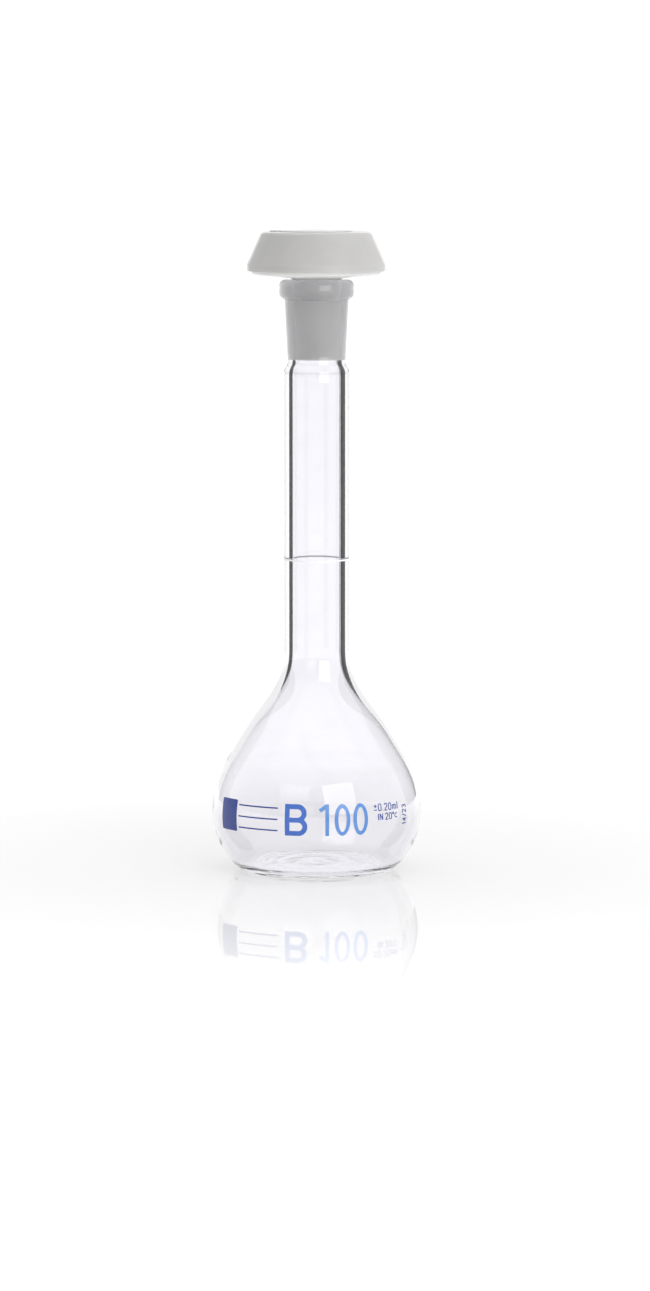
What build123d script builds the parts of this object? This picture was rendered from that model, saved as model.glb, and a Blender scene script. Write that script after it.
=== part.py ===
"""Volumetric flask, 100 ml, with a 14/23 ground socket and a hollow polyethylene stopper.

Millimetres, +Z up.  The origin is the middle of the foot, on the bench.  The enamel
marks face -Y.  The glass is made the way it is sealed up: a blown bulb, a neck tube
and a ground socket.  The stopper is two mouldings, a dished plug and a conical cap.
"""

import os
from math import cos, hypot, sin, sqrt

from build123d import *

os.makedirs("parts", exist_ok=True)

# ---- glass -------------------------------------------------------------------
BELLY_D = 60.1            # widest point of the bulb
BULB_H = 64.0             # bench to the start of the straight neck
FOOT_D = 40.8             # outer edge of the flat ring that the flask stands on
FOOT_RING_W = 3.0         # width of that ring
PUSH_UP = 0.9             # rise of the middle of the base
BULB_WALL = 1.2
BASE_WALL = 1.45
NECK_D = 18.8
NECK_BORE = 14.0
NECK_L = 79.4             # straight part of the neck
SHOULDER_L = 3.1          # where the neck is drawn in to the socket
DRAW_LAG = 0.6            # the bore starts to narrow this far below the outside
RING_MARK_Z = 89.9        # height of the 100 ml line

# ---- ground socket 14/23 -----------------------------------------------------
SOCKET_BORE = 14.5        # at the mouth
TAPER = 0.1               # change of diameter over length
SOCKET_L = 23.0           # ground length
SOCKET_LAND = 0.5         # plain glass below the ground length
SOCKET_WALL = 2.15
BEAD_D = 21.5
BEAD_H = 5.6
BEAD_ROUND = 1.35
SHANK_ROUND = 0.5         # where the socket's outside meets the bead
MOUTH_ROUND = 0.25        # fire-polished edge of the bore

# ---- stopper -----------------------------------------------------------------
PLUG_GAP = 0.05           # running clearance all round in the ground socket
PLUG_L = 22.7             # how far the plug goes below the mouth
PLUG_WALL = 1.3
PLUG_FLOOR = 1.5
PLUG_ROUND = 0.4          # bottom edge of the plug
NECKING_ROUND = 0.25      # where the plug meets the dish
HEAD_LIFT = 0.35          # air between the mouth and the head
HEAD_D = 39.8             # at the lip
HEAD_TOP_D = 31.4         # where the cone would meet the top
HEAD_H = 13.2             # underside to top
LIP_Z = 2.05              # lip above the underside
LIP_FACE = 1.9            # straight outer face of the lip
LIP_T = 1.25              # lip outside the dish
DISH_RISE = 1.1           # the underside rises this much from plug to corner
DISH_ROUND = 1.0
DISH_INNER_ROUND = 0.6
DISH_INSIDE = 1.6         # dish rim inside the cap, above the lip's lower edge
CAP_T = 1.3
CAP_SLANT_T = 1.7         # measured level, at the top of the cone
HEAD_ROUND = 1.2
HEAD_INNER_ROUND = 1.2
LIP_TOP_ROUND = 1.2
LIP_FOOT_ROUND = 0.6
BOSS_D = 20.6
BOSS_H = 0.35
BOSS_ROUND = 0.2
GATE_D = 3.6
GATE_H = 0.4
GATE_IN = 0.5             # overlap of the gate mark and the boss

# ---- enamel ------------------------------------------------------------------
ENAMEL_T = 0.07
RING_MARK_W = 0.45
MARK_Z = 18.2             # middle of the big marks
MARK_H = 9.0
LETTER_STROKE = 1.4
DIGIT_STROKE = 1.08
SMALL_STROKE = 0.27
LETTER_W = 6.5
LETTER_WAIST = 0.25       # the upper bowl is this much narrower
DIGIT_W = 4.6
FLAG_W = 2.1              # stroke of the 1 that comes down to the left
FLAG_HIGH = 0.4           # its start below the top of the 1
FLAG_LOW = 1.85
PANEL_W = 7.4
PANEL_ROUND = 0.5
LINES_W = 13.4
LINES_OVERLAP = 0.2       # the lines are cut in two halves that meet
LINE_T = 0.4
LINE_STEP = 3.2
TOLERANCE_H = 1.95
TEMPERATURE_H = 1.8
JOINT_SIZE_H = 1.7

# Where each mark stands, in mm round the belly from -Y towards +X: its middle, the stem
# of the 1 and of the letter.
PANEL_AT = -29.6
LINES_AT = -18.2
LETTER_AT = -9.15
ONE_AT = 3.05
ZEROS_AT = (7.45, 12.95)
TOLERANCE_AT, TOLERANCE_UP = 21.9, 2.9
TEMPERATURE_AT, TEMPERATURE_UP = 22.4, 0.2
JOINT_SIZE_AT = 29.5
MARK_STANDOFF = 0.6       # outlines are drawn this far outside the belly
SINK = 4.6                # how far an outline is cut in from there

belly_r, foot_r, neck_r, bore_r = BELLY_D / 2, FOOT_D / 2, NECK_D / 2, NECK_BORE / 2
neck_top = BULB_H + NECK_L
socket_bottom = neck_top + SHOULDER_L
mouth = socket_bottom + SOCKET_LAND + SOCKET_L
half_taper = TAPER / 2
socket_low_r = SOCKET_BORE / 2 - SOCKET_L * half_taper

# Bulb outline: share of the bulb's height, share of the way from foot or neck to belly,
# and wall as a share of the bulb's wall.
LOWER = [(0.018, 0.290, 1.25), (0.081, 0.639, 1.05), (0.1625, 0.893, 1.0)]
UPPER = [
    (0.380, 0.954, 1.0),
    (0.4875, 0.818, 1.0),
    (0.596, 0.618, 1.0),
    (0.705, 0.393, 1.1),
    (0.8125, 0.155, 1.5),
    (0.921, 0.019, 1.95),
]
BELLY_AT = 0.2656         # height of the widest point, as a share of the bulb's height
ARC_ROWS = 2              # the first rows above the belly that lie on its upper arc


def bulb_points():
    """Radius, height and wall down the bulb, from the foot's round to the neck."""
    rows = [(foot_r + f * (belly_r - foot_r), z * BULB_H, w * BULB_WALL) for z, f, w in LOWER]
    rows.append((belly_r, BELLY_AT * BULB_H, BULB_WALL))
    rows += [(neck_r + f * (belly_r - neck_r), z * BULB_H, w * BULB_WALL) for z, f, w in UPPER]
    rows.append((neck_r, BULB_H, neck_r - bore_r))
    return rows


def pushed(rows, depths):
    """The same points moved square to the outline: inwards for a positive depth."""
    moved = []
    for i, (r, z, _) in enumerate(rows):
        before, after = rows[max(i - 1, 0)], rows[min(i + 1, len(rows) - 1)]
        dr, dz = after[0] - before[0], after[1] - before[1]
        if i == len(rows) - 1:
            dr, dz = 0.0, 1.0
        run = hypot(dr, dz)
        moved.append((r - depths[i] * dz / run, z + depths[i] * dr / run))
    return moved


rows = bulb_points()
inside = pushed(rows, [w for _, _, w in rows])
corner = rows[0][:2]
belly = (belly_r, BELLY_AT * BULB_H)
cone_start = rows[len(LOWER) + ARC_ROWS][:2]
cone_rows = [row[:2] for row in rows[len(LOWER) + ARC_ROWS:]]

# Blown bulb: flat foot ring, pushed-up base, belly, cone and the flare into the neck.
with BuildPart() as bulb:
    with BuildSketch(Plane.XZ):
        with BuildLine():
            base_dome = TangentArc((0, PUSH_UP), (foot_r - FOOT_RING_W, 0), tangent=(1, 0))
            foot_ring = Line(base_dome @ 1, (foot_r, 0))
            TangentArc(foot_ring @ 1, corner, tangent=(1, 0))
            TangentArc(belly, corner, tangent=(0, -1))
            belly_arc = TangentArc(belly, cone_start, tangent=(0, 1))
            cone = Spline(*cone_rows, tangents=(belly_arc % 1, (0, 1)))
            Line(cone @ 1, inside[-1])
            floor_edge = (foot_r - FOOT_RING_W * 0.75, BASE_WALL)
            Spline(*reversed(inside), floor_edge, tangents=((0, -1), (-1, -0.05)))
            TangentArc((0, PUSH_UP + BASE_WALL), floor_edge, tangent=(1, 0))
            Line((0, PUSH_UP + BASE_WALL), (0, PUSH_UP))
        make_face()
    revolve(axis=Axis.Z)
bulb.part.label = "bulb"

# Neck tube, drawn in at its top to the bore of the socket.
socket_out_r = socket_low_r + SOCKET_WALL
with BuildPart() as neck_tube:
    with BuildSketch(Plane.XZ):
        with BuildLine():
            outer_run = Line((neck_r, BULB_H), (neck_r, neck_top))
            outer_draw = Spline(
                outer_run @ 1, (socket_out_r, socket_bottom), tangents=((0, 1), (0, 1))
            )
            joint_face = Line(outer_draw @ 1, (socket_low_r, socket_bottom))
            inner_draw = Spline(
                joint_face @ 1, (bore_r, neck_top - DRAW_LAG), tangents=((0, -1), (0, -1))
            )
            inner_run = Line(inner_draw @ 1, (bore_r, BULB_H))
            bulb_face = Line(inner_run @ 1, outer_run @ 0)
        make_face()
    revolve(axis=Axis.Z)
neck_tube.part.label = "neck_tube"

# Ground socket: 1 in 10 taper inside, tooled bead at the mouth.
bead_r = BEAD_D / 2
bead_foot = mouth - BEAD_H
shank_top_r = socket_out_r + (bead_foot - socket_bottom) * half_taper
with BuildPart() as ground_socket:
    with BuildSketch(Plane.XZ):
        with BuildLine():
            Polyline(
                (socket_low_r, socket_bottom),
                (socket_out_r, socket_bottom),
                (shank_top_r, bead_foot),
                (bead_r, bead_foot),
                (bead_r, mouth),
                (SOCKET_BORE / 2, mouth),
                (socket_low_r, mouth - SOCKET_L),
                close=True,
            )
        face = make_face()
        corners = face.vertices()
        fillet(corners.sort_by_distance((bead_r, mouth))[0], BEAD_ROUND)
        fillet(corners.sort_by_distance((bead_r, bead_foot))[0], BEAD_ROUND)
        fillet(corners.sort_by_distance((shank_top_r, bead_foot))[0], SHANK_ROUND)
        fillet(corners.sort_by_distance((SOCKET_BORE / 2, mouth))[0], MOUTH_ROUND)
    revolve(axis=Axis.Z)
ground_socket.part.label = "ground_socket"

# Stopper plug: a tapered cup with a dished flange that closes the head from below.
plug_mouth_r = SOCKET_BORE / 2 - PLUG_GAP
plug_low_r = plug_mouth_r - PLUG_L * half_taper
plug_low = mouth - PLUG_L
head_low = mouth + HEAD_LIFT
lip_low = head_low + LIP_Z
head_r = HEAD_D / 2
dish_r = head_r - LIP_T
dish_top = lip_low + DISH_INSIDE
with BuildPart() as stopper_plug:
    with BuildSketch(Plane.XZ):
        with BuildLine():
            Polyline(
                (0, plug_low),
                (plug_low_r, plug_low),
                (plug_mouth_r, mouth),
                (plug_mouth_r, head_low),
                (dish_r, head_low + DISH_RISE),
                (dish_r, dish_top),
                (dish_r - PLUG_WALL, dish_top),
                (dish_r - PLUG_WALL, head_low + DISH_RISE + PLUG_WALL),
                (plug_mouth_r - PLUG_WALL, head_low + PLUG_WALL),
                (plug_low_r - PLUG_WALL, plug_low + PLUG_FLOOR),
                (0, plug_low + PLUG_FLOOR),
                close=True,
            )
        face = make_face()
        corners = face.vertices()
        fillet(corners.sort_by_distance((dish_r, head_low + DISH_RISE))[0], DISH_ROUND)
        fillet(
            corners.sort_by_distance((dish_r - PLUG_WALL, head_low + DISH_RISE + PLUG_WALL))[0],
            DISH_INNER_ROUND,
        )
        fillet(corners.sort_by_distance((plug_mouth_r, head_low))[0], NECKING_ROUND)
        fillet(corners.sort_by_distance((plug_low_r, plug_low))[0], PLUG_ROUND)
    revolve(axis=Axis.Z)
stopper_plug.part.label = "stopper_plug"

# Stopper cap: a conical shell that snaps over the dish, with a raised boss and a gate mark.
head_top = head_low + HEAD_H
top_r = HEAD_TOP_D / 2
lip_high = lip_low + LIP_FACE
with BuildPart() as stopper_cap:
    with BuildSketch(Plane.XZ):
        with BuildLine():
            Polyline(
                (0, head_top),
                (top_r, head_top),
                (head_r, lip_high),
                (head_r, lip_low),
                (dish_r, lip_low),
                (dish_r, dish_top),
                (dish_r - PLUG_WALL, dish_top),
                (top_r - CAP_SLANT_T, head_top - CAP_T),
                (0, head_top - CAP_T),
                close=True,
            )
        face = make_face()
        corners = face.vertices()
        fillet(corners.sort_by_distance((top_r, head_top))[0], HEAD_ROUND)
        inner_corner = corners.sort_by_distance((top_r - CAP_SLANT_T, head_top - CAP_T))[0]
        fillet(inner_corner, HEAD_INNER_ROUND)
        fillet(corners.sort_by_distance((head_r, lip_high))[0], LIP_TOP_ROUND)
        fillet(corners.sort_by_distance((head_r, lip_low))[0], LIP_FOOT_ROUND)
    revolve(axis=Axis.Z)
    with BuildSketch(Plane.XY.offset(head_top)):
        Circle(BOSS_D / 2)
    extrude(amount=BOSS_H)
    boss_edge = stopper_cap.edges().group_by(Axis.Z)[-1]
    fillet(boss_edge, BOSS_ROUND)
    with BuildSketch(Plane.XY.offset(head_top)):
        with Locations((GATE_IN - (BOSS_D + GATE_D) / 2, 0)):
            Circle(GATE_D / 2)
    extrude(amount=GATE_H)
stopper_cap.part.label = "stopper_cap"


# ---- fired enamel ------------------------------------------------------------
def bulb_arc_r(end):
    """Radius of the bulb's upright arc from the belly to `end`."""
    rise, run = end[1] - belly[1], belly_r - end[0]
    return (rise**2 + run**2) / (2 * run)


def mark_plane(arc, height=MARK_Z):
    """A plane outside the bulb, its X level, `arc` mm round the belly from -Y."""
    turn = arc / belly_r
    reach = belly_r + MARK_STANDOFF
    return Plane(
        origin=(reach * sin(turn), -reach * cos(turn), height),
        x_dir=(cos(turn), sin(turn), 0),
        z_dir=(sin(turn), -cos(turn), 0),
    )


def glass_plane(arc, height, upright):
    """A plane on the bulb's surface and square to it, where a small character goes."""
    turn = arc / belly_r
    drop = height - belly[1]
    arc_r = bulb_arc_r(cone_start if drop > 0 else corner)
    out = sqrt(arc_r**2 - drop**2)
    radius = belly_r - arc_r + out
    level = Vector(cos(turn), sin(turn), 0)
    square = Vector(sin(turn) * out, -cos(turn) * out, drop)
    return Plane(
        origin=(radius * sin(turn), -radius * cos(turn), height),
        x_dir=square.cross(level) if upright else level,
        z_dir=square,
    )


def stroke_bowl(width, height, stroke, middle):
    """Half-round bowl of a letter, its straight side on the stem."""
    run = width - height / 2
    for grow, mode in ((0, Mode.ADD), (stroke, Mode.SUBTRACT)):
        with Locations((run / 2, middle)):
            Rectangle(run, height - 2 * grow, mode=mode)
        with Locations((run, middle)):
            Circle(height / 2 - grow, mode=mode)


# A skin on the belly of the bulb, from which each big mark is cut out.
with BuildPart() as enamel_skin:
    with BuildSketch(Plane.XZ):
        with BuildLine():
            for end, way in ((corner, -1), (cone_start, 1)):
                glass_arc = TangentArc(belly, end, tangent=(0, way))
                square_out = (glass_arc % 1).rotate(Axis.Z, -90 * way) * ENAMEL_T
                enamel_arc = TangentArc(
                    (belly_r + ENAMEL_T, belly[1]), glass_arc @ 1 + square_out, tangent=(0, way)
                )
                Line(glass_arc @ 1, enamel_arc @ 1)
        make_face()
    revolve(axis=Axis.Z)

with BuildPart() as graduation_ring:
    with BuildSketch(Plane.XY.offset(RING_MARK_Z - RING_MARK_W / 2)):
        Circle(neck_r + ENAMEL_T)
        Circle(neck_r, mode=Mode.SUBTRACT)
    extrude(amount=RING_MARK_W)
graduation_ring.part.label = "graduation_ring"

with BuildPart() as marking_panel:
    with BuildSketch(mark_plane(PANEL_AT)):
        RectangleRounded(PANEL_W, MARK_H, PANEL_ROUND)
    extrude(amount=-SINK)
    add(enamel_skin.part, mode=Mode.INTERSECT)
marking_panel.part.label = "marking_panel"

with BuildPart() as writing_lines:
    for arc in (LINES_AT - LINES_W / 4, LINES_AT + LINES_W / 4):
        with BuildSketch(mark_plane(arc)):
            for step in (-1, 0, 1):
                with Locations((0, step * LINE_STEP)):
                    Rectangle(LINES_W / 2 + LINES_OVERLAP, LINE_T)
        extrude(amount=-SINK)
    add(enamel_skin.part, mode=Mode.INTERSECT)
writing_lines.part.label = "writing_lines"

with BuildPart() as class_letter:
    with BuildSketch(mark_plane(LETTER_AT)):
        bowl_h = (MARK_H + LETTER_STROKE) / 2
        bowl_z = (MARK_H - bowl_h) / 2
        stroke_bowl(LETTER_W, bowl_h, LETTER_STROKE, -bowl_z)
        stroke_bowl(LETTER_W - LETTER_WAIST, bowl_h, LETTER_STROKE, bowl_z)
        with Locations((LETTER_STROKE / 2, 0)):
            Rectangle(LETTER_STROKE, MARK_H)
        with Locations((LETTER_W / 4, 0)):
            Rectangle(LETTER_W / 2, LETTER_STROKE)
    extrude(amount=-SINK)
    add(enamel_skin.part, mode=Mode.INTERSECT)
class_letter.part.label = "class_letter"

with BuildPart() as capacity_number:
    with BuildSketch(mark_plane(ONE_AT)):
        Rectangle(DIGIT_STROKE, MARK_H)
        with BuildLine():
            Line((0, MARK_H / 2 - FLAG_HIGH), (-FLAG_W, MARK_H / 2 - FLAG_LOW))
        trace(line_width=DIGIT_STROKE)
    extrude(amount=-SINK)
    for arc in ZEROS_AT:
        with BuildSketch(mark_plane(arc)):
            Ellipse(DIGIT_W / 2, MARK_H / 2)
            Ellipse(DIGIT_W / 2 - DIGIT_STROKE, MARK_H / 2 - DIGIT_STROKE, mode=Mode.SUBTRACT)
        extrude(amount=-SINK)
    add(enamel_skin.part, mode=Mode.INTERSECT)
capacity_number.part.label = "capacity_number"

# Small characters drawn as strokes on a unit height: two points make a line, three an
# arc.  Each character is set square to the glass at its own place.
ADVANCE = {".": 0.34, " ": 0.30, "m": 1.05, "l": 0.36, "°": 0.50, "1": 0.55, "/": 0.62, "I": 0.36}
STROKES = {
    "0": [
        [(-0.25, 0.22), (0, 0.5), (0.25, 0.22)],
        [(0.25, 0.22), (0.25, -0.22)],
        [(0.25, -0.22), (0, -0.5), (-0.25, -0.22)],
        [(-0.25, -0.22), (-0.25, 0.22)],
    ],
    "1": [[(-0.16, 0.28), (0.04, 0.5)], [(0.04, 0.5), (0.04, -0.5)]],
    "2": [
        [(-0.25, 0.26), (0.02, 0.5), (0.22, 0.12)],
        [(0.22, 0.12), (-0.25, -0.5)],
        [(-0.25, -0.5), (0.27, -0.5)],
    ],
    "3": [
        [(-0.22, 0.38), (0.21, 0.27), (-0.05, 0.03)],
        [(-0.05, 0.03), (0.24, -0.24), (-0.25, -0.38)],
    ],
    "4": [
        [(0.1, -0.5), (0.1, 0.5)],
        [(0.1, 0.5), (-0.28, -0.2)],
        [(-0.28, -0.2), (0.28, -0.2)],
    ],
    "/": [[(-0.2, -0.55), (0.2, 0.55)]],
    ".": [[(-0.05, -0.46), (0.05, -0.46)]],
    "±": [[(0, -0.05), (0, 0.45)], [(-0.25, 0.2), (0.25, 0.2)], [(-0.25, -0.35), (0.25, -0.35)]],
    "m": [
        [(-0.36, -0.5), (-0.36, 0.18)],
        [(-0.36, 0), (-0.18, 0.18), (0, 0)],
        [(0, 0), (0, -0.5)],
        [(0, 0), (0.18, 0.18), (0.36, 0)],
        [(0.36, 0), (0.36, -0.5)],
    ],
    "l": [[(0, 0.55), (0, -0.5)]],
    "I": [[(0, 0.5), (0, -0.5)]],
    "N": [
        [(-0.25, -0.5), (-0.25, 0.5)],
        [(-0.25, 0.5), (0.25, -0.5)],
        [(0.25, -0.5), (0.25, 0.5)],
    ],
    "°": [[(-0.13, 0.37), (0, 0.5), (0.13, 0.37)], [(0.13, 0.37), (0, 0.24), (-0.13, 0.37)]],
    "C": [[(0.24, 0.28), (-0.27, 0), (0.24, -0.28)]],
}
SMALL_MARKS = [
    ("tolerance_text", "±0.20ml", TOLERANCE_H, TOLERANCE_AT, MARK_Z + TOLERANCE_UP, False),
    ("temperature_text", "IN 20°C", TEMPERATURE_H, TEMPERATURE_AT, MARK_Z + TEMPERATURE_UP, False),
    ("joint_size_text", "14/23", JOINT_SIZE_H, JOINT_SIZE_AT, MARK_Z, True),
]
small_marks = []
for node, words, size, arc, height, upright in SMALL_MARKS:
    steps = [ADVANCE.get(character, 0.80) * size for character in words]
    run = -sum(steps) / 2
    with BuildPart() as small_mark:
        for character, step in zip(words, steps):
            middle = run + step / 2
            run += step
            if character == " ":
                continue
            if upright:
                spot = glass_plane(arc, height + middle, True)
            else:
                spot = glass_plane(arc + middle, height, False)
            with BuildSketch(spot):
                for stroke in STROKES[character]:
                    points = [(x * size, y * size) for x, y in stroke]
                    with BuildLine():
                        Line(*points) if len(points) == 2 else ThreePointArc(*points)
                    trace(line_width=SMALL_STROKE)
            extrude(amount=ENAMEL_T)
    small_mark.part.label = node
    small_marks.append(small_mark)

glass = [bulb, neck_tube, ground_socket]
stopper = [stopper_plug, stopper_cap]
marks = [graduation_ring, marking_panel, writing_lines, class_letter, capacity_number]
for piece in glass + stopper + marks + small_marks:
    export_step(piece.part, f"parts/{piece.part.label}.step")

print(f"mouth {mouth:.2f}  top {head_top + GATE_H:.2f}")
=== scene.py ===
"""A 100 ml volumetric flask: sealed glass, a hollow polyethylene stopper and fired enamel marks.

Metres, +Z up, origin in the middle of the foot.  The marks face -Y.
"""

from math import acos, atan2, cos, hypot, pi, radians, sin, tan

import bmesh
import bpy
import numpy as np
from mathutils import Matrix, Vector, noise


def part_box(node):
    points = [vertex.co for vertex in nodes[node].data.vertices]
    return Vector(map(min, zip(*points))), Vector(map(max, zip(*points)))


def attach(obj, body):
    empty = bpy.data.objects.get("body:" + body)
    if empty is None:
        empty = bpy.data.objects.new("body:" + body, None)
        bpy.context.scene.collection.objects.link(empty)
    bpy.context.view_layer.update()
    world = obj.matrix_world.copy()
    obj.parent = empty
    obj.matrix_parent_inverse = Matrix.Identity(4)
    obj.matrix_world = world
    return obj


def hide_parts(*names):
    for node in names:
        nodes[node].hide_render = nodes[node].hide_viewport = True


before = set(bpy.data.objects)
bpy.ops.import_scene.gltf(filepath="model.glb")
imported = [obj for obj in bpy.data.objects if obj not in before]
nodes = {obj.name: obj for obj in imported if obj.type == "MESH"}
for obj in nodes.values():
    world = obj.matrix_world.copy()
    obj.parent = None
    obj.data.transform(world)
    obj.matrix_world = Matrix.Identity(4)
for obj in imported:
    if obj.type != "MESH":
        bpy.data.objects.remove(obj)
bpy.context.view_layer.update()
MM = 0.001


# ---- sizes, read from the frame wherever the frame holds them ----------------
def radius_of(node):
    """Largest radius of a round node about the flask's axis."""
    low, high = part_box(node)
    return (high[0] - low[0]) / 2


BELLY_R = radius_of("bulb")
BULB_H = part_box("bulb")[1][2]
NECK_R = radius_of("neck_tube")
NECK_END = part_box("neck_tube")[1][2]
BEAD_R = radius_of("ground_socket")
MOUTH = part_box("ground_socket")[1][2]

# What no node's box can show.
BORE_R = 7.0 * MM
FOOT_R = 20.4 * MM
FOOT_RING = 3.0 * MM
PUSH_UP = 0.9 * MM
BASE_WALL = 1.45 * MM
BULB_WALL = 1.2 * MM
FLOOR_EDGE = 0.75               # the inside floor ends this far in over the foot ring
BELLY_Z = 0.2656 * BULB_H
SHOULDER = 3.1 * MM
DRAW_LAG = 0.6 * MM             # the bore starts to narrow this far below the outside
SOCKET_BORE = 7.25 * MM
HALF_TAPER = 0.05
GROUND_L = 23.0 * MM
SOCKET_WALL = 2.15 * MM
BEAD_H = 5.6 * MM
BEAD_ROUND = 1.9 * MM
SHANK_ROUND = 0.5 * MM
MOUTH_ROUND = 0.25 * MM
MOUTH_LEAD = 0.5 * MM           # polished bore above the ground cone

# Share of the bulb's height, share of the way from foot or neck to belly, share of the wall.
BELOW_BELLY = [(0.018, 0.290, 1.25), (0.081, 0.639, 1.05), (0.1625, 0.893, 1.0)]
ABOVE_BELLY = [
    (0.380, 0.954, 1.0),
    (0.4875, 0.818, 1.0),
    (0.596, 0.618, 1.0),
    (0.705, 0.393, 1.1),
    (0.8125, 0.155, 1.5),
    (0.921, 0.019, 1.95),
]
ARC_ROWS = 2                    # the first rows above the belly that lie on its upper arc

# Points along the glass: round its curves, along its straights, over each span of a spline.
SECTIONS = 256
BASE_STEPS = 28
EDGE_STEPS = 10
BELOW_STEPS = 40
ABOVE_STEPS = 30
STRAIGHT_STEPS = 24
SPAN_STEPS = 12
ON_AXIS = 1e-7

# How far the worked glass is uneven, in millimetres, and how closely its waves follow, per metre.
SLOW_WAVE, SLOW_WAVE_PITCH = 0.022, 55
BASE_RIPPLE, BASE_RIPPLE_PITCH = 0.085, 300
BASE_RING, BASE_RING_PITCH = 0.012, 900
OUTSIDE_SHARE = 0.35            # the outside is this much as uneven as the inside
RIPPLED_H = 6 * MM              # height over which the base's ripples die out
RIPPLE_FROM, RIPPLE_RISE = 12 * MM, 6 * MM         # they grow outwards over this stretch of radius
RIPPLE_LEAST = 0.15             # and are this share of their full height in the middle
FLOOR_R, FLOOR_LOW, FLOOR_HIGH = 18 * MM, 1 * MM, 4 * MM    # where the inside floor is found
RESTS_BELOW = 0.02 * MM         # glass this low stands on the bench and stays flat


# ---- outline drawing ---------------------------------------------------------
def arc(start, way, end, steps):
    """Points from start to end on the arc that leaves start along way."""
    chord = (end[0] - start[0], end[1] - start[1])
    left = (-way[1], way[0])
    side = chord[0] * left[0] + chord[1] * left[1]
    radius = (chord[0] ** 2 + chord[1] ** 2) / (2 * side)
    centre = (start[0] + left[0] * radius, start[1] + left[1] * radius)
    first = atan2(start[1] - centre[1], start[0] - centre[0])
    last = atan2(end[1] - centre[1], end[0] - centre[0])
    sweep = (last - first + pi) % (2 * pi) - pi
    turns = [first + sweep * i / steps for i in range(steps + 1)]
    return [(centre[0] + abs(radius) * cos(t), centre[1] + abs(radius) * sin(t)) for t in turns]


def leaving(points):
    """Unit direction in which a run of points ends."""
    dr, dz = points[-1][0] - points[-2][0], points[-1][1] - points[-2][1]
    return dr / hypot(dr, dz), dz / hypot(dr, dz)


def smooth_run(points, first_way, last_way, steps):
    """Clamped cubic spline through the points, steps per span."""
    p = np.array(points)
    gaps = np.hypot(*np.diff(p, axis=0).T)
    n = len(p)
    m = np.zeros((n, n))
    rhs = np.zeros((n, 2))
    m[0, 0] = m[-1, -1] = 1.0
    rhs[0], rhs[-1] = first_way, last_way
    for i in range(1, n - 1):
        a, b = gaps[i - 1], gaps[i]
        m[i, i - 1], m[i, i], m[i, i + 1] = b, 2 * (a + b), a
        rhs[i] = 3 * (b * (p[i] - p[i - 1]) / a + a * (p[i + 1] - p[i]) / b)
    slopes = np.linalg.solve(m, rhs)
    out = [tuple(p[0])]
    for i, gap in enumerate(gaps):
        for k in range(1, steps + 1):
            t = k / steps
            h = (2 * t**3 - 3 * t**2 + 1, t**3 - 2 * t**2 + t, -2 * t**3 + 3 * t**2, t**3 - t**2)
            near = h[0] * p[i] + h[1] * gap * slopes[i]
            out.append(tuple(near + h[2] * p[i + 1] + h[3] * gap * slopes[i + 1]))
    return out


def straight(start, end, steps):
    """Evenly spaced points from start to end."""
    return [
        (start[0] + (end[0] - start[0]) * i / steps, start[1] + (end[1] - start[1]) * i / steps)
        for i in range(steps + 1)
    ]


def rounded(corners, steps=7):
    """An outline through (radius, height, rounding) corners, each rounding an arc."""
    out = []
    for i, (r, z, bend) in enumerate(corners):
        if bend == 0 or i in (0, len(corners) - 1):
            out.append((r, z))
            continue
        here = Vector((r, z))
        back = (Vector(corners[i - 1][:2]) - here).normalized()
        on = (Vector(corners[i + 1][:2]) - here).normalized()
        half = acos(max(-1.0, min(1.0, back.dot(on)))) / 2
        reach = bend / tan(half)
        start, end = here + back * reach, here + on * reach
        out += arc(tuple(start), tuple(-back), tuple(end), steps)
    return out


def pushed_in(rows):
    """The outline's points moved square to it, into the glass, by each row's wall."""
    out = []
    for i, (r, z, wall) in enumerate(rows):
        before, after = rows[max(i - 1, 0)], rows[min(i + 1, len(rows) - 1)]
        dr, dz = after[0] - before[0], after[1] - before[1]
        if i == len(rows) - 1:
            dr, dz = 0.0, 1.0
        run = hypot(dr, dz)
        out.append((r - wall * dz / run, z + wall * dr / run))
    return out


# ---- turning an outline into a mesh ------------------------------------------
def turned(name, runs, sections, body):
    """A round piece whose outline starts and ends on the axis.

    runs is [(points, material index)], joined end to end.
    """
    points, kinds = [], []
    for run, kind in runs:
        fresh = run if not points else run[1:]
        kinds += [kind] * (len(run) - 1)
        points += fresh
    mesh = bpy.data.meshes.new(name)
    work = bmesh.new()
    turns = [2 * pi * k / sections for k in range(sections)]
    rings = []
    for r, z in points:
        if r < ON_AXIS:
            rings.append([work.verts.new((0, 0, z))] * sections)
        else:
            rings.append([work.verts.new((r * cos(t), r * sin(t), z)) for t in turns])
    for low, high, kind in zip(rings, rings[1:], kinds):
        for k in range(sections):
            j = (k + 1) % sections
            corners = [low[k], low[j], high[j], high[k]]
            face = work.faces.new(list(dict.fromkeys(corners)))
            face.material_index = kind
            face.smooth = True
    bmesh.ops.recalc_face_normals(work, faces=work.faces)
    work.to_mesh(mesh)
    work.free()
    piece = bpy.data.objects.new(name, mesh)
    bpy.context.collection.objects.link(piece)
    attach(piece, body)
    return piece


# ---- glass -------------------------------------------------------------------
def rows_from(end_r, shares):
    """Outline rows whose radius lies between end_r and the belly's."""
    return [(end_r + f * (BELLY_R - end_r), z * BULB_H, w * BULB_WALL) for z, f, w in shares]


def bulb_rows():
    """(radius, height, wall) up the bulb, from the foot's edge to the neck."""
    belly = (BELLY_R, BELLY_Z, BULB_WALL)
    neck = (NECK_R, BULB_H, NECK_R - BORE_R)
    return rows_from(FOOT_R, BELOW_BELLY) + [belly] + rows_from(NECK_R, ABOVE_BELLY) + [neck]


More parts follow.
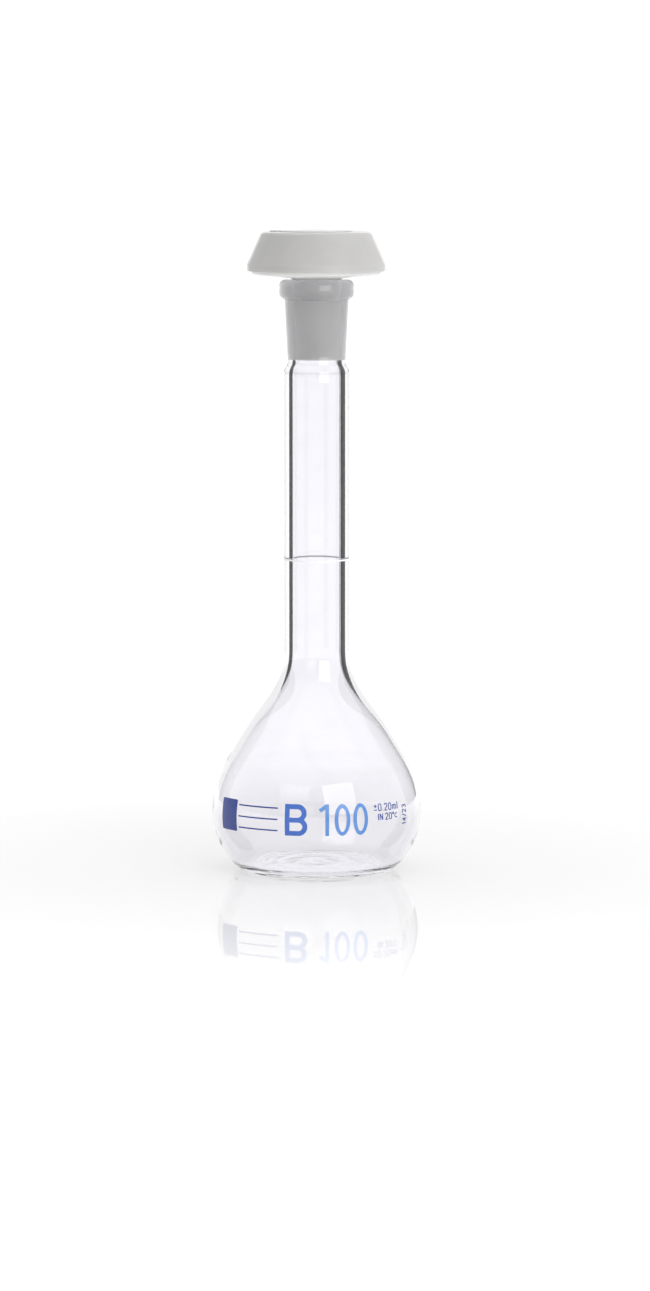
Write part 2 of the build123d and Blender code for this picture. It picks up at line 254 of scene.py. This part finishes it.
def glass_outline():
    """The sealed glass from the middle of the base, up the outside and down the inside."""
    rows = bulb_rows()
    cone = rows[len(BELOW_BELLY) + ARC_ROWS:]
    corner, cone_start = rows[0][:2], cone[0][:2]
    socket_low = SOCKET_BORE - GROUND_L * HALF_TAPER
    socket_out = socket_low + SOCKET_WALL
    neck_top = NECK_END - SHOULDER
    bead_foot = MOUTH - BEAD_H
    shank_top = socket_out + (bead_foot - NECK_END) * HALF_TAPER

    outside = arc((0, PUSH_UP), (1, 0), (FOOT_R - FOOT_RING, 0), BASE_STEPS)
    outside += straight(outside[-1], (FOOT_R, 0), 4)[1:]
    outside += arc((FOOT_R, 0), (1, 0), corner, EDGE_STEPS)[1:]
    outside += list(reversed(arc((BELLY_R, BELLY_Z), (0, -1), corner, BELOW_STEPS)))[1:]
    belly = arc((BELLY_R, BELLY_Z), (0, 1), cone_start, ABOVE_STEPS)
    outside += belly[1:]
    outside += smooth_run([row[:2] for row in cone], leaving(belly), (0, 1), SPAN_STEPS)[1:]
    outside += straight((NECK_R, BULB_H), (NECK_R, neck_top), STRAIGHT_STEPS)[1:]
    shoulder = [(NECK_R, neck_top), (socket_out, NECK_END)]
    outside += smooth_run(shoulder, (0, 1), (0, 1), SPAN_STEPS)[1:]
    outside += rounded([
        (socket_out, NECK_END, 0),
        (shank_top, bead_foot, SHANK_ROUND),
        (BEAD_R, bead_foot, BEAD_ROUND),
        (BEAD_R, MOUTH, BEAD_ROUND),
        (SOCKET_BORE, MOUTH, MOUTH_ROUND),
        (SOCKET_BORE - MOUTH_LEAD * HALF_TAPER, MOUTH - MOUTH_LEAD, 0),
    ])[1:]
    ground = straight(outside[-1], (socket_low, MOUTH - GROUND_L), STRAIGHT_STEPS)
    inside = straight(ground[-1], (socket_low, NECK_END), 2)
    drawn = [inside[-1], (BORE_R, neck_top - DRAW_LAG)]
    inside += smooth_run(drawn, (0, -1), (0, -1), SPAN_STEPS)[1:]
    inside += straight(inside[-1], (BORE_R, BULB_H), STRAIGHT_STEPS)[1:]
    floor_edge = (FOOT_R - FOOT_RING * FLOOR_EDGE, BASE_WALL)
    inner = list(reversed(pushed_in(rows))) + [floor_edge]
    inside += smooth_run(inner, (0, -1), (-1, -0.05), SPAN_STEPS)[1:]
    inside += list(reversed(arc((0, PUSH_UP + BASE_WALL), (1, 0), floor_edge, BASE_STEPS)))[1:]
    return [(outside, 0), (ground, 1), (inside, 0)]


def work_the_glass(piece):
    """Hand-worked unevenness: a slow wave in the blown wall and a rippled base."""
    mesh = piece.data
    squares = [normal.vector.copy() for normal in mesh.vertex_normals]
    moved = []
    for vert, square in zip(mesh.vertices, squares):
        spot = vert.co.copy()
        r, z = hypot(spot.x, spot.y), spot.z
        if z < MOUTH - GROUND_L - 1 * MM and r > 0.1 * MM:
            spot += square * unevenness(spot, square, r, z)
        moved += list(spot)
    mesh.vertices.foreach_set("co", moved)
    mesh.update()


def unevenness(spot, square, r, z):
    """How far the worked glass stands off its outline at one place."""
    faces_axis = square.x * spot.x + square.y * spot.y < 0
    inner = faces_axis or (FLOOR_LOW < z < FLOOR_HIGH and r < FLOOR_R)
    seed = Vector((0, 0, 3.1)) if inner else Vector((5.3, 0, 0))
    wave = noise.noise(spot * SLOW_WAVE_PITCH + seed) * SLOW_WAVE * MM
    if z < RIPPLED_H:
        fade = 1 - z / RIPPLED_H
        rim = min(1.0, max(RIPPLE_LEAST, (r - RIPPLE_FROM) / RIPPLE_RISE))
        wave += noise.noise(spot * BASE_RIPPLE_PITCH + seed) * BASE_RIPPLE * MM * fade * rim
        wave += BASE_RING * MM * fade * sin(r * BASE_RING_PITCH + 2.2 * noise.noise(spot * 60))
    if z < RESTS_BELOW:
        return 0.0
    return wave if inner else wave * OUTSIDE_SHARE


# ---- shader groups -----------------------------------------------------------
def new_group(name, inputs, outputs):
    """An empty shader group; inputs and outputs are (name, socket kind, default)."""
    group = bpy.data.node_groups.new(name, "ShaderNodeTree")
    for label, kind, default in inputs:
        socket = group.interface.new_socket(label, in_out="INPUT", socket_type=kind)
        socket.default_value = default
    for label, kind in outputs:
        group.interface.new_socket(label, in_out="OUTPUT", socket_type=kind)
    return group


def add_node(tree, kind, at=(0, 0), **values):
    """A node with some of its settings or input sockets set by name."""
    node = tree.nodes.new(kind)
    node.location = at
    for key, value in values.items():
        if hasattr(node, key):
            setattr(node, key, value)
        else:
            node.inputs[key.replace("_", " ")].default_value = value
    return node


FLOAT = "NodeSocketFloat"


def handling_marks():
    """Faint smears and specks that lift the roughness where fingers and cloths have been."""
    tree = new_group(
        "handling marks",
        [
            ("Smear Size", FLOAT, 60.0),
            ("Speck Size", FLOAT, 900.0),
            ("Clean", FLOAT, 0.02),
            ("Soiled", FLOAT, 0.1),
        ],
        [("Roughness", FLOAT), ("Mask", FLOAT)],
    )
    given = add_node(tree, "NodeGroupInput", (-900, 0))
    out = add_node(tree, "NodeGroupOutput", (500, 0))
    place = add_node(tree, "ShaderNodeTexCoord", (-900, -250))
    smear = add_node(tree, "ShaderNodeTexNoise", (-600, 120),
                     Detail=5.0, Roughness=0.62, Distortion=1.4)
    speck = add_node(tree, "ShaderNodeTexVoronoi", (-600, -200))
    tree.links.new(place.outputs["Object"], smear.inputs["Vector"])
    tree.links.new(place.outputs["Object"], speck.inputs["Vector"])
    tree.links.new(given.outputs["Smear Size"], smear.inputs["Scale"])
    tree.links.new(given.outputs["Speck Size"], speck.inputs["Scale"])
    smear_mask = add_node(tree, "ShaderNodeMapRange", (-350, 120), From_Min=0.52, From_Max=0.75)
    speck_mask = add_node(tree, "ShaderNodeMapRange", (-350, -200), From_Min=0.10, From_Max=0.04)
    both = add_node(tree, "ShaderNodeMath", (-100, 0), operation="MAXIMUM")
    spread = add_node(tree, "ShaderNodeMapRange", (150, 60))
    tree.links.new(smear.outputs["Fac"], smear_mask.inputs["Value"])
    tree.links.new(speck.outputs["Distance"], speck_mask.inputs["Value"])
    tree.links.new(smear_mask.outputs["Result"], both.inputs[0])
    tree.links.new(speck_mask.outputs["Result"], both.inputs[1])
    tree.links.new(both.outputs["Value"], spread.inputs["Value"])
    tree.links.new(given.outputs["Clean"], spread.inputs["To Min"])
    tree.links.new(given.outputs["Soiled"], spread.inputs["To Max"])
    tree.links.new(spread.outputs["Result"], out.inputs["Roughness"])
    tree.links.new(both.outputs["Value"], out.inputs["Mask"])
    return tree


def fine_grain():
    """Close grain as height and mask: ground glass, moulded skin or a fired print."""
    tree = new_group(
        "fine grain",
        [("Grain Size", FLOAT, 3000.0), ("Swell Size", FLOAT, 300.0), ("Swell", FLOAT, 0.3)],
        [("Height", FLOAT), ("Mask", FLOAT)],
    )
    given = add_node(tree, "NodeGroupInput", (-800, 0))
    out = add_node(tree, "NodeGroupOutput", (400, 0))
    place = add_node(tree, "ShaderNodeTexCoord", (-800, -250))
    grain = add_node(tree, "ShaderNodeTexNoise", (-500, 120), Detail=3.0, Roughness=0.6)
    swell = add_node(tree, "ShaderNodeTexNoise", (-500, -150), Detail=2.0, Roughness=0.5)
    tree.links.new(place.outputs["Object"], grain.inputs["Vector"])
    tree.links.new(place.outputs["Object"], swell.inputs["Vector"])
    tree.links.new(given.outputs["Grain Size"], grain.inputs["Scale"])
    tree.links.new(given.outputs["Swell Size"], swell.inputs["Scale"])
    mixed = add_node(tree, "ShaderNodeMix", (0, 0))
    tree.links.new(given.outputs["Swell"], mixed.inputs["Factor"])
    tree.links.new(grain.outputs["Fac"], mixed.inputs["A"])
    tree.links.new(swell.outputs["Fac"], mixed.inputs["B"])
    tree.links.new(mixed.outputs["Result"], out.inputs["Height"])
    tree.links.new(swell.outputs["Fac"], out.inputs["Mask"])
    return tree


HANDLING = handling_marks()
GRAIN = fine_grain()


def new_material(name, **shader_values):
    """A material with one Principled shader whose plain sockets are set by name."""
    material = bpy.data.materials.new(name)
    material.use_nodes = True
    shader = material.node_tree.nodes["Principled BSDF"]
    for label, value in shader_values.items():
        shader.inputs[label.replace("_", " ")].default_value = value
    return material, material.node_tree, shader


def place_group(tree, group, at, **values):
    """A shared effect placed in one material with that material's own values."""
    node = add_node(tree, "ShaderNodeGroup", at)
    node.node_tree = group
    for label, value in values.items():
        node.inputs[label.replace("_", " ")].default_value = value
    return node


def bump_from(tree, shader, height, strength, distance):
    """Raises the surface by a height that varies over it."""
    bump = add_node(tree, "ShaderNodeBump", (-250, -300), Strength=strength, Distance=distance)
    tree.links.new(height, bump.inputs["Height"])
    tree.links.new(bump.outputs["Normal"], shader.inputs["Normal"])


def mixed_colour(tree, mask, low, high):
    """The low colour where the mask is 0, the high one where it is 1."""
    mix = add_node(tree, "ShaderNodeMix", (-300, 200), data_type="RGBA")
    tree.links.new(mask, mix.inputs["Factor"])
    mix.inputs[6].default_value = (*low, 1)
    mix.inputs[7].default_value = (*high, 1)
    return mix.outputs[2]


# ---- materials ---------------------------------------------------------------
def clear_glass():
    """Fire-polished borosilicate with a trace of handling."""
    material, tree, shader = new_material("clear borosilicate", IOR=1.473, Transmission_Weight=1.0)
    marks = place_group(tree, HANDLING, (-600, 0),
                        Smear_Size=45.0, Speck_Size=520.0, Clean=0.0, Soiled=0.035)
    tint = mixed_colour(tree, marks.outputs["Mask"], (0.937, 0.931, 0.958), (0.905, 0.90, 0.925))
    tree.links.new(tint, shader.inputs["Base Color"])
    tree.links.new(marks.outputs["Roughness"], shader.inputs["Roughness"])
    return material


def ground_glass():
    """The lapped inside of the socket: rough, with a fine even grain."""
    material, tree, shader = new_material("ground joint glass", IOR=1.473, Transmission_Weight=0.6)
    grain = place_group(tree, GRAIN, (-700, -200), Grain_Size=5200.0, Swell_Size=260.0, Swell=0.25)
    tint = mixed_colour(tree, grain.outputs["Mask"], (0.98, 0.98, 0.975), (0.93, 0.93, 0.925))
    tree.links.new(tint, shader.inputs["Base Color"])
    rough = add_node(tree, "ShaderNodeMapRange", (-400, 0), To_Min=0.42, To_Max=0.6)
    tree.links.new(grain.outputs["Mask"], rough.inputs["Value"])
    tree.links.new(rough.outputs["Result"], shader.inputs["Roughness"])
    bump_from(tree, shader, grain.outputs["Height"], 0.35, 0.03 * MM)
    return material


def moulded_polyethylene(name, thick, thin):
    """Milky moulded plastic with a soft skin and slow flow marks, its colour paled at grazing
    angles as a painted sheen.
    """
    material, tree, shader = new_material(
        name,
        IOR=1.51,
        Subsurface_Weight=0.85,
        Subsurface_Scale=1.0 * MM,
        Specular_IOR_Level=0.4,
    )
    shader.inputs["Subsurface Radius"].default_value = (1.6, 1.5, 1.4)
    grain = place_group(tree, GRAIN, (-700, -200), Grain_Size=2600.0, Swell_Size=120.0, Swell=0.4)
    marks = place_group(tree, HANDLING, (-700, 150),
                        Smear_Size=70.0, Speck_Size=700.0, Clean=0.36, Soiled=0.5)
    body = mixed_colour(tree, grain.outputs["Mask"], thick, thin)
    # Painted sheen: the base colour turns towards a pale grey where the surface is seen at a
    # grazing angle. The map named wall follows the viewing angle, not the plastic's thickness.
    painted_sheen_facing = add_node(tree, "ShaderNodeLayerWeight", (-600, 400), Blend=0.5)
    wall = add_node(tree, "ShaderNodeMapRange", (-400, 400), interpolation_type="SMOOTHSTEP",
                    From_Min=0.72, From_Max=0.86, To_Min=0.0, To_Max=0.7)
    tree.links.new(painted_sheen_facing.outputs["Facing"], wall.inputs["Value"])
    painted_sheen_mix = add_node(tree, "ShaderNodeMix", (-100, 200), data_type="RGBA")
    tree.links.new(wall.outputs["Result"], painted_sheen_mix.inputs["Factor"])
    tree.links.new(body, painted_sheen_mix.inputs[6])
    # The pale grey that the painted sheen turns the colour to.
    painted_sheen_mix.inputs[7].default_value = (0.82, 0.82, 0.81, 1)
    tree.links.new(painted_sheen_mix.outputs[2], shader.inputs["Base Color"])
    tree.links.new(marks.outputs["Roughness"], shader.inputs["Roughness"])
    bump_from(tree, shader, grain.outputs["Height"], 0.25, 0.05 * MM)
    return material


def fired_enamel(name, thick, thin):
    """Screen-printed enamel: ink laid a little unevenly, glossy where the flux pooled."""
    material, tree, shader = new_material(name, IOR=1.52)
    grain = place_group(tree, GRAIN, (-700, -200), Grain_Size=4200.0, Swell_Size=520.0, Swell=0.5)
    tint = mixed_colour(tree, grain.outputs["Mask"], thick, thin)
    tree.links.new(tint, shader.inputs["Base Color"])
    gloss = add_node(tree, "ShaderNodeMapRange", (-400, 0), To_Min=0.16, To_Max=0.34)
    tree.links.new(grain.outputs["Mask"], gloss.inputs["Value"])
    tree.links.new(gloss.outputs["Result"], shader.inputs["Roughness"])
    bump_from(tree, shader, grain.outputs["Height"], 0.2, 0.02 * MM)
    return material


def finish_node(node, material):
    """Puts a material on every slot of a CAD node."""
    mesh = nodes[node].data
    if not mesh.materials:
        mesh.materials.append(material)
    for slot in nodes[node].material_slots:
        slot.material = material


# ---- pieces ------------------------------------------------------------------
def make_glass():
    """The three sealed pieces of glass as one, with the socket's inside ground."""
    piece = turned("flask_glass", glass_outline(), SECTIONS, "flask")
    work_the_glass(piece)
    piece.data.materials.append(clear_glass())
    piece.data.materials.append(ground_glass())
    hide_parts("bulb", "neck_tube", "ground_socket")


def make_marks():
    """The fill line in white, everything printed on the bulb in three strengths of blue."""
    white = fired_enamel("white line enamel", (0.90, 0.90, 0.93), (0.82, 0.82, 0.86))
    finish_node("graduation_ring", white)
    deep = fired_enamel("deep blue enamel", (0.012, 0.034, 0.22), (0.022, 0.06, 0.31))
    full = fired_enamel("full blue enamel", (0.045, 0.125, 0.47), (0.065, 0.165, 0.55))
    light = fired_enamel("thin blue enamel", (0.07, 0.20, 0.54), (0.11, 0.27, 0.62))
    finish_node("marking_panel", deep)
    finish_node("class_letter", full)
    finish_node("capacity_number", light)
    for node in ("writing_lines", "tolerance_text", "temperature_text", "joint_size_text"):
        finish_node(node, deep)


def make_stopper():
    """The plug and its dish in a paler copy of the cap's plastic: one polyethylene in two tones,
    painted light on the plug and painted shade on the cap.
    """
    # One plastic in two copies: the plug's paler tones are painted light, and the cap's darker
    # tones are painted shade.
    plug = moulded_polyethylene("plug polyethylene", (0.74, 0.735, 0.725), (0.66, 0.657, 0.65))
    head = moulded_polyethylene("head polyethylene", (0.50, 0.496, 0.49), (0.43, 0.428, 0.424))
    finish_node("stopper_plug", plug)
    finish_node("stopper_cap", head)


make_glass()
make_marks()
make_stopper()


# ---- studio ------------------------------------------------------------------
FLOOR_W = 24.0
FLOOR_DROP = 0.03 * MM          # keeps the floor just clear of the foot
AIM = (0, 0, 0.1)               # what the soft boxes face
FLAG_REACH, FLAG_Z, FLAG_H = 0.42, 0.16, 0.31
FLAGS = ((135, 0.26), (230, 0.19), (315, 0.15))    # turn in degrees, width
ASIDE = 2.4 * MM                # the camera stands this far to the right of the axis
CAMERA_REACH, CAMERA_Z = 1.5, 0.225
LOOK_Z = 64.8 * MM
LENS = 146.2
BOUNCES = 64                    # enough to cross every wall of the glass and of its mirror image
FRONT = (-0.45, -0.89, 0.0)     # the dimmer side of the tent


def emptied(owner):
    """The node tree of a material or world, with nothing in it."""
    owner.use_nodes = True
    owner.node_tree.nodes.clear()
    return owner.node_tree


def flat_sheet(name, width, height):
    """A level four-cornered sheet, centred on the origin."""
    mesh = bpy.data.meshes.new(name)
    w, h = width / 2, height / 2
    mesh.from_pydata([(-w, -h, 0), (w, -h, 0), (w, h, 0), (-w, h, 0)], [], [(0, 1, 2, 3)])
    piece = bpy.data.objects.new(name, mesh)
    bpy.context.collection.objects.link(piece)
    return piece


def glow(name, strength):
    """An even white light of its own."""
    material = bpy.data.materials.new(name)
    tree = emptied(material)
    lamp = add_node(tree, "ShaderNodeEmission", Strength=strength)
    lamp.inputs["Color"].default_value = (1, 1, 1, 1)
    out = add_node(tree, "ShaderNodeOutputMaterial", (250, 0))
    tree.links.new(lamp.outputs[0], out.inputs["Surface"])
    return material


def card(name, centre, width, height, facing, material, **seen):
    """A flat studio card; seen says which rays meet it, and the rest pass it by."""
    piece = flat_sheet(name, width, height)
    piece.location = centre
    piece.rotation_euler = (Vector(facing) - Vector(centre)).to_track_quat("Z", "Y").to_euler()
    piece.data.materials.append(material)
    for kind in ("camera", "diffuse", "glossy", "transmission", "shadow", "volume_scatter"):
        setattr(piece, "visible_" + kind, seen.get(kind, False))


def around(turn, reach, height):
    """A place round the flask: turn in degrees from -Y towards +X."""
    return (reach * sin(radians(turn)), -reach * cos(radians(turn)), height)


def white_acrylic():
    """Glowing white, with painted light that makes it glow brighter under and beside the foot, and
    a mirror share that is strongest beside the foot and fades outwards.
    """
    material = bpy.data.materials.new("white acrylic")
    tree = emptied(material)
    place = add_node(tree, "ShaderNodeTexCoord", (-900, 0))
    reach = add_node(tree, "ShaderNodeVectorMath", (-700, 0), operation="LENGTH")
    tree.links.new(place.outputs["Object"], reach.inputs[0])
    fade = add_node(tree, "ShaderNodeMapRange", (-500, 0), interpolation_type="SMOOTHSTEP",
                    From_Min=0.02, From_Max=0.34, To_Min=0.46, To_Max=0.0)
    tree.links.new(reach.outputs["Value"], fade.inputs["Value"])
    clear = add_node(tree, "ShaderNodeMapRange", (-500, -250), From_Min=0.0200, From_Max=0.0215,
                     To_Min=0.1, To_Max=1.0)
    tree.links.new(reach.outputs["Value"], clear.inputs["Value"])
    share = add_node(tree, "ShaderNodeMath", (-300, -250), operation="MULTIPLY")
    tree.links.new(fade.outputs["Result"], share.inputs[0])
    tree.links.new(clear.outputs["Result"], share.inputs[1])
    white = add_node(tree, "ShaderNodeBsdfDiffuse", (-300, 150))
    white.inputs["Color"].default_value = (0.42, 0.42, 0.42, 1)
    below = add_node(tree, "ShaderNodeEmission", (-300, 300))
    # Painted light: the floor's glow rises from 0.64 to 0.95 under and beside the foot, filling
    # the shade that the flask casts there.
    painted_light_under_foot = add_node(tree, "ShaderNodeMapRange", (-500, 300), interpolation_type="SMOOTHSTEP",
                       From_Min=0.014, From_Max=0.024, To_Min=0.95, To_Max=0.64)
    tree.links.new(reach.outputs["Value"], painted_light_under_foot.inputs["Value"])
    tree.links.new(painted_light_under_foot.outputs["Result"], below.inputs["Strength"])
    lit = add_node(tree, "ShaderNodeAddShader", (-120, 220))
    tree.links.new(white.outputs[0], lit.inputs[0])
    tree.links.new(below.outputs[0], lit.inputs[1])
    mirror = add_node(tree, "ShaderNodeBsdfGlossy", (-300, -100), Roughness=0.015)
    both = add_node(tree, "ShaderNodeMixShader", (0, 0))
    out = add_node(tree, "ShaderNodeOutputMaterial", (250, 0))
    tree.links.new(share.outputs["Value"], both.inputs["Fac"])
    tree.links.new(lit.outputs[0], both.inputs[1])
    tree.links.new(mirror.outputs[0], both.inputs[2])
    tree.links.new(both.outputs[0], out.inputs["Surface"])
    return material


def make_floor():
    """A wide sheet that mirrors the flask faintly."""
    floor = flat_sheet("floor", FLOOR_W, FLOOR_W)
    floor.location.z = -FLOOR_DROP
    floor.data.materials.append(white_acrylic())


def make_surround():
    """An all-round white tent, dimmer on the camera's side, pure white where it is looked at."""
    world = bpy.data.worlds.new("white tent")
    bpy.context.scene.world = world
    tree = emptied(world)
    place = add_node(tree, "ShaderNodeTexCoord", (-1100, 0))
    axes = add_node(tree, "ShaderNodeSeparateXYZ", (-900, 0))
    tree.links.new(place.outputs["Generated"], axes.inputs[0])
    turn = add_node(tree, "ShaderNodeVectorMath", (-900, -200), operation="DOT_PRODUCT")
    turn.inputs[1].default_value = FRONT
    tree.links.new(place.outputs["Generated"], turn.inputs[0])
    front = add_node(tree, "ShaderNodeMapRange", (-650, -200), interpolation_type="SMOOTHSTEP",
                     From_Min=-0.1, From_Max=0.85, To_Min=0.93, To_Max=0.26)
    tree.links.new(turn.outputs["Value"], front.inputs["Value"])
    above = add_node(tree, "ShaderNodeMapRange", (-650, 100), interpolation_type="SMOOTHSTEP",
                     From_Min=0.35, From_Max=0.9, To_Min=0.0, To_Max=1.0)
    tree.links.new(axes.outputs["Z"], above.inputs["Value"])
    level = add_node(tree, "ShaderNodeMix", (-400, 0))
    level.inputs["B"].default_value = 1.25
    tree.links.new(above.outputs["Result"], level.inputs["Factor"])
    tree.links.new(front.outputs["Result"], level.inputs["A"])
    light = add_node(tree, "ShaderNodeBackground", (-150, 0), Color=(1, 1, 1, 1))
    tree.links.new(level.outputs["Result"], light.inputs["Strength"])
    seen = add_node(tree, "ShaderNodeBackground", (-150, -150), Color=(1, 1, 1, 1), Strength=1.05)
    path = add_node(tree, "ShaderNodeLightPath", (-150, 300))
    both = add_node(tree, "ShaderNodeMixShader", (100, 0))
    out = add_node(tree, "ShaderNodeOutputWorld", (300, 0))
    tree.links.new(path.outputs["Is Camera Ray"], both.inputs["Fac"])
    tree.links.new(light.outputs[0], both.inputs[1])
    tree.links.new(seen.outputs[0], both.inputs[2])
    tree.links.new(both.outputs[0], out.inputs["Surface"])


def make_cards():
    """Two soft boxes for the highlights, and black flags that darken the glass's edges."""
    soft = glow("soft box", 4.2)
    faint = glow("faint soft box", 1.0)
    card("soft_box", around(27, 1.2, 0.47), 0.80, 0.79, AIM, soft, glossy=True, diffuse=True)
    card("faint_soft_box", around(-21, 1.2, 0.20), 0.77, 0.22, AIM, faint, glossy=True)
    black = glow("black flag", 0.0)
    for turn, width in FLAGS:
        spot = around(turn, FLAG_REACH, FLAG_Z)
        card(f"flag_{turn}", spot, width, FLAG_H, (0, 0, FLAG_Z), black, transmission=True)


def make_camera():
    """A long lens a little above the mouth, looking down at the foot of the neck."""
    lens = bpy.data.cameras.new("camera")
    camera = bpy.data.objects.new("camera", lens)
    bpy.context.collection.objects.link(camera)
    camera.location = (ASIDE, -CAMERA_REACH, CAMERA_Z)
    look = Vector((ASIDE, 0, LOOK_Z)) - camera.location
    camera.rotation_euler = look.to_track_quat("-Z", "Y").to_euler()
    lens.lens = LENS
    lens.clip_start, lens.clip_end = 0.05, 60
    bpy.context.scene.camera = camera


def set_light_paths():
    """Plain tones, and light that goes on until it is through the glass."""
    scene = bpy.context.scene
    scene.view_settings.view_transform = "Standard"
    scene.cycles.max_bounces = BOUNCES
    scene.cycles.transmission_bounces = BOUNCES
    scene.cycles.glossy_bounces = BOUNCES
    scene.cycles.diffuse_bounces = 4


make_floor()
make_surround()
make_cards()
make_camera()
set_light_paths()
